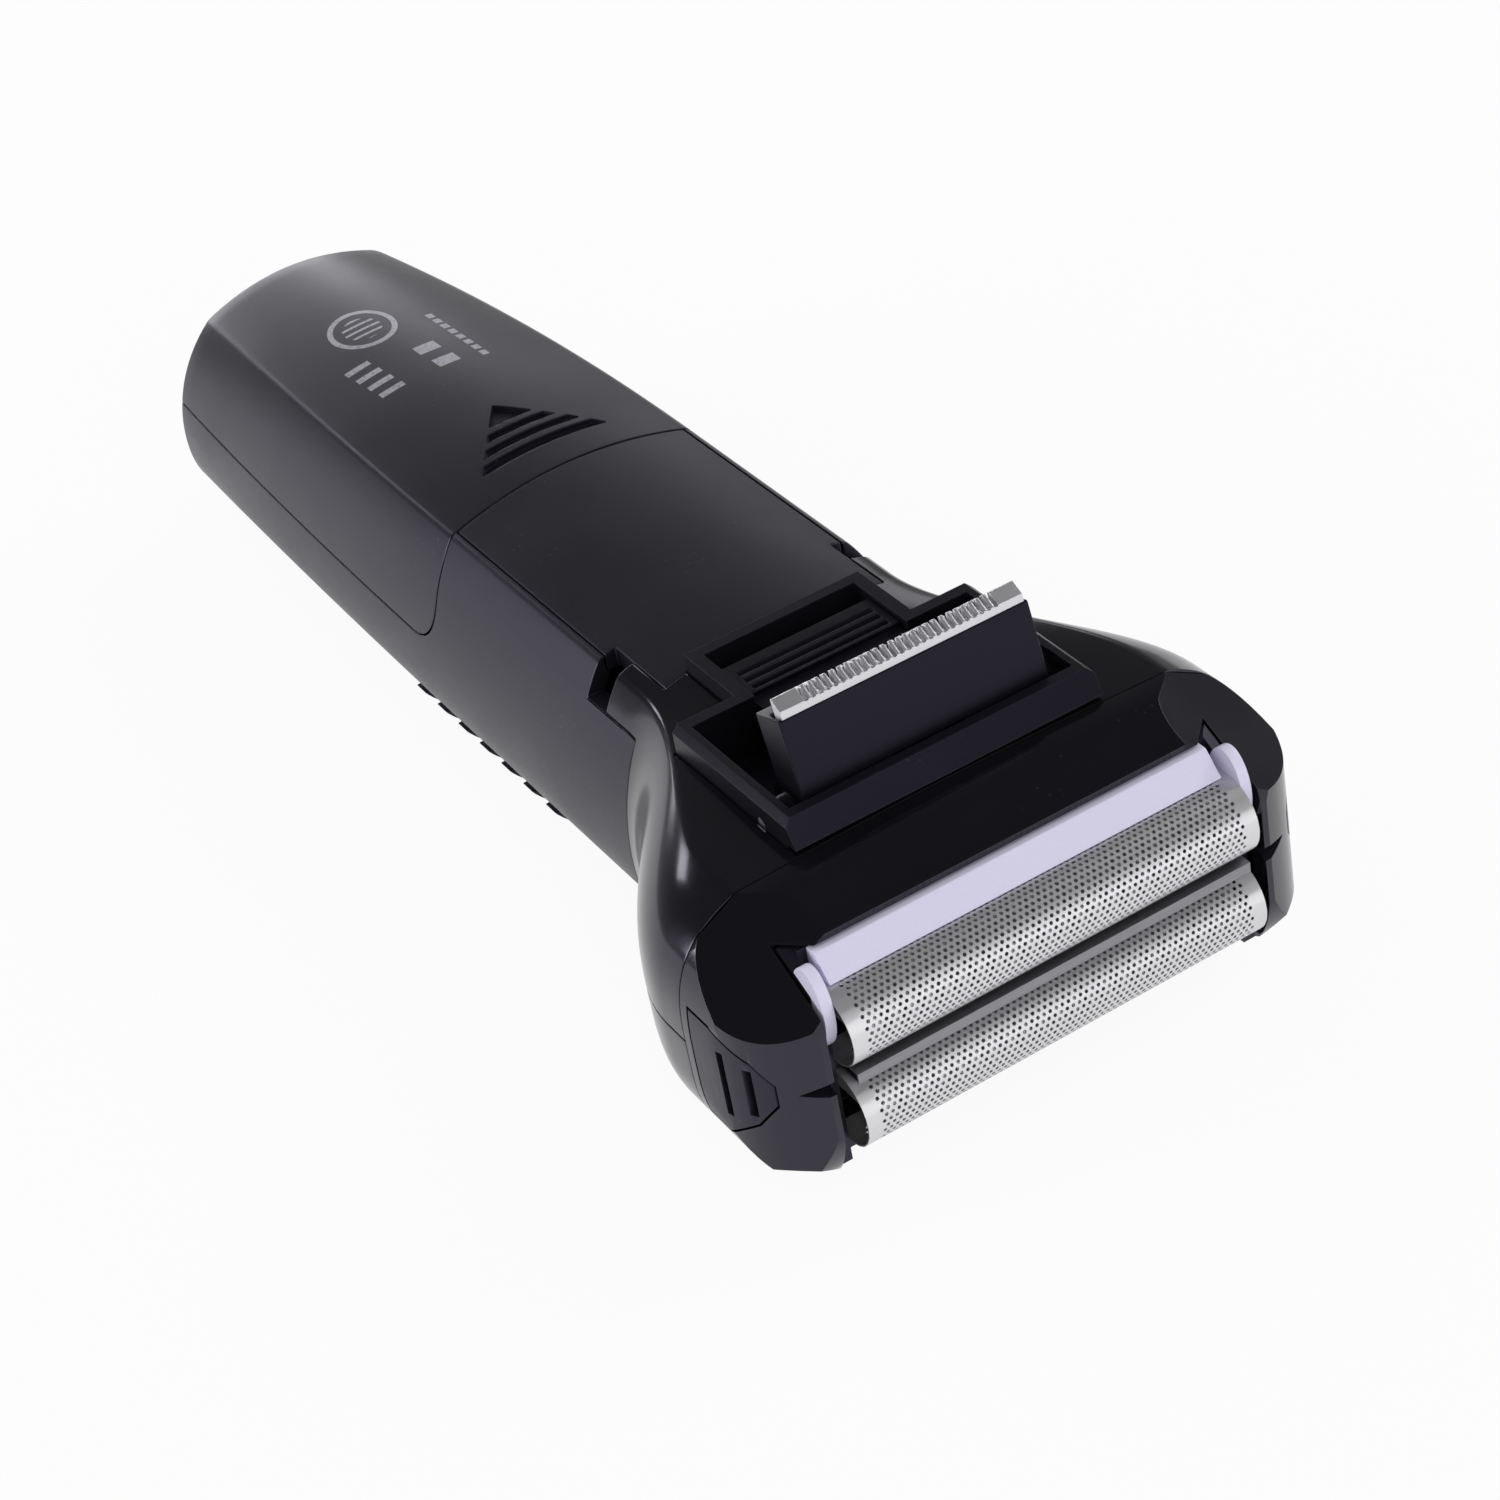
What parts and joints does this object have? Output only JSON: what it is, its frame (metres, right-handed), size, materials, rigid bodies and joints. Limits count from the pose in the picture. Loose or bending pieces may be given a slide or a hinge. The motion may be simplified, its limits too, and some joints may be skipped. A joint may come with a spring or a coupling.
{
  "type": "foil shaver",
  "caption": "Cordless foil shaver with arched perforated foils, pop-up trimmer, slide-off battery cover, push-off foil cap, power button and moving cutters.",
  "frame": {"origin": "middle of the lowest plane of the box around the whole shaver, lying on its front face", "axes": "+X across the head, +Y from the foils to the base of the handle, +Z out of the back"},
  "size_m": [0.0616, 0.1542, 0.0394],
  "materials": {
    "gloss_black": "polished",
    "satin_black": "satin",
    "soft_black": "fine texture",
    "inner_grey": "moulded",
    "ivory_plastic": "moulded",
    "lavender_plastic": "polished",
    "window": "clear",
    "foil_steel": "perforated, bright",
    "blade_steel": "ground",
    "plated_steel": "plated",
    "motor_steel": "plated can",
    "cell_wrap": "printed sleeve",
    "board_green": "lacquered",
    "boot_rubber": "matte"
  },
  "bodies": {
    "handle": {"front_shell": "satin_black", "rear_shell": "satin_black", "front_grip": "soft_black", "button_bezel": "plated_steel", "led_window": "window", "charging_jack": "boot_rubber", "chassis": "inner_grey", "battery_cells": "cell_wrap", "contact_plate": "plated_steel", "contact_springs": "plated_steel", "circuit_board": "board_green", "button_switch": "inner_grey", "indicator_led": "window", "motor_bracket": "inner_grey", "motor_can": "motor_steel", "bridge_rails": "blade_steel", "bridge_boot": "boot_rubber", "head_housing": "gloss_black", "head_front": "gloss_black", "head_deck": "inner_grey", "trimmer_frame": "satin_black", "trimmer_pin": "blade_steel", "housing_screws": "plated_steel", "deck_screws": "plated_steel"},
    "battery_cover": {"battery_cover": "satin_black"},
    "power_button": {"power_button": "soft_black"},
    "rotor": {"motor_shaft": "blade_steel", "eccentric": "ivory_plastic"},
    "bridge": {"drive_bridge": "ivory_plastic", "trimmer_arm": "blade_steel", "cutter_springs": "plated_steel"},
    "rear_cutter": {"holder_rear": "ivory_plastic", "cutter_rear": "blade_steel"},
    "front_cutter": {"holder_front": "ivory_plastic", "cutter_front": "blade_steel"},
    "cap": {"foil_cap": "gloss_black", "release_springs": "plated_steel"},
    "release_left": {"release_left": "satin_black"},
    "release_right": {"release_right": "satin_black"},
    "foils": {"foil_frame": "soft_black", "foil_rear": "foil_steel", "foil_front": "foil_steel", "guard_bar": "lavender_plastic", "middle_guard": "foil_steel"},
    "middle_knife": {"middle_blade": "blade_steel"},
    "slider": {"trimmer_slider": "satin_black"},
    "carrier": {"trimmer_carrier": "satin_black", "trimmer_comb": "blade_steel"},
    "trimmer_knife": {"trimmer_blade": "blade_steel"}
  },
  "joints": [
    {"name": "cover_slide", "type": "slide", "parent": "handle", "child": "battery_cover", "axis": [0, 1, 0], "range_m": [0, 0.01]},
    {"name": "power_press", "type": "slide", "parent": "handle", "child": "power_button", "axis": [0, 0, 1], "range_m": [0, 0.0008], "stiffness_N_per_m": 500},
    {"name": "motor_turn", "type": "hinge", "parent": "handle", "child": "rotor", "pos_m": [0, -0.05, 0.014], "axis": [0, 1, 0], "continuous": true},
    {"name": "bridge_swing", "type": "slide", "parent": "handle", "child": "bridge", "axis": [1, 0, 0], "range_m": [-0.0012, 0.0012]},
    {"name": "rear_cutter_float", "type": "slide", "parent": "bridge", "child": "rear_cutter", "axis": [0, 1, 0], "range_m": [0, 0.001]},
    {"name": "front_cutter_float", "type": "slide", "parent": "bridge", "child": "front_cutter", "axis": [0, 1, 0], "range_m": [0, 0.001]},
    {"name": "cap_lift", "type": "slide", "parent": "handle", "child": "cap", "axis": [0, -1, 0], "range_m": [0, 0.02]},
    {"name": "release_left_press", "type": "slide", "parent": "cap", "child": "release_left", "axis": [1, 0, 0], "range_m": [0, 0.0008], "stiffness_N_per_m": 500},
    {"name": "release_right_press", "type": "slide", "parent": "cap", "child": "release_right", "axis": [-1, 0, 0], "range_m": [0, 0.0008], "stiffness_N_per_m": 500},
    {"name": "foil_float", "type": "slide", "parent": "cap", "child": "foils", "axis": [0, 1, 0], "range_m": [0, 0.001], "stiffness_N_per_m": 600},
    {"name": "middle_knife_swing", "type": "slide", "parent": "foils", "child": "middle_knife", "axis": [1, 0, 0], "range_m": [-0.0012, 0.0012]},
    {"name": "trimmer_slide", "type": "slide", "parent": "handle", "child": "slider", "axis": [0, 1, 0], "range_m": [0, 0.0024]},
    {"name": "trimmer_fold", "type": "hinge", "parent": "handle", "child": "carrier", "pos_m": [0, -0.05663, 0.0282], "axis": [1, 0, 0], "range_deg": [-75, 0]},
    {"name": "trimmer_knife_swing", "type": "slide", "parent": "carrier", "child": "trimmer_knife", "axis": [1, 0, 0], "range_m": [-0.0012, 0.0012]}
  ],
  "couplings": [
    {"joint": "rear_cutter_float", "follows": "foil_float", "ratio": 1},
    {"joint": "front_cutter_float", "follows": "foil_float", "ratio": 1},
    {"joint": "middle_knife_swing", "follows": "bridge_swing", "ratio": 1},
    {"joint": "trimmer_knife_swing", "follows": "bridge_swing", "ratio": 1},
    {"joint": "trimmer_slide", "follows": "trimmer_fold", "m_per_rad": -0.001833}
  ]
}
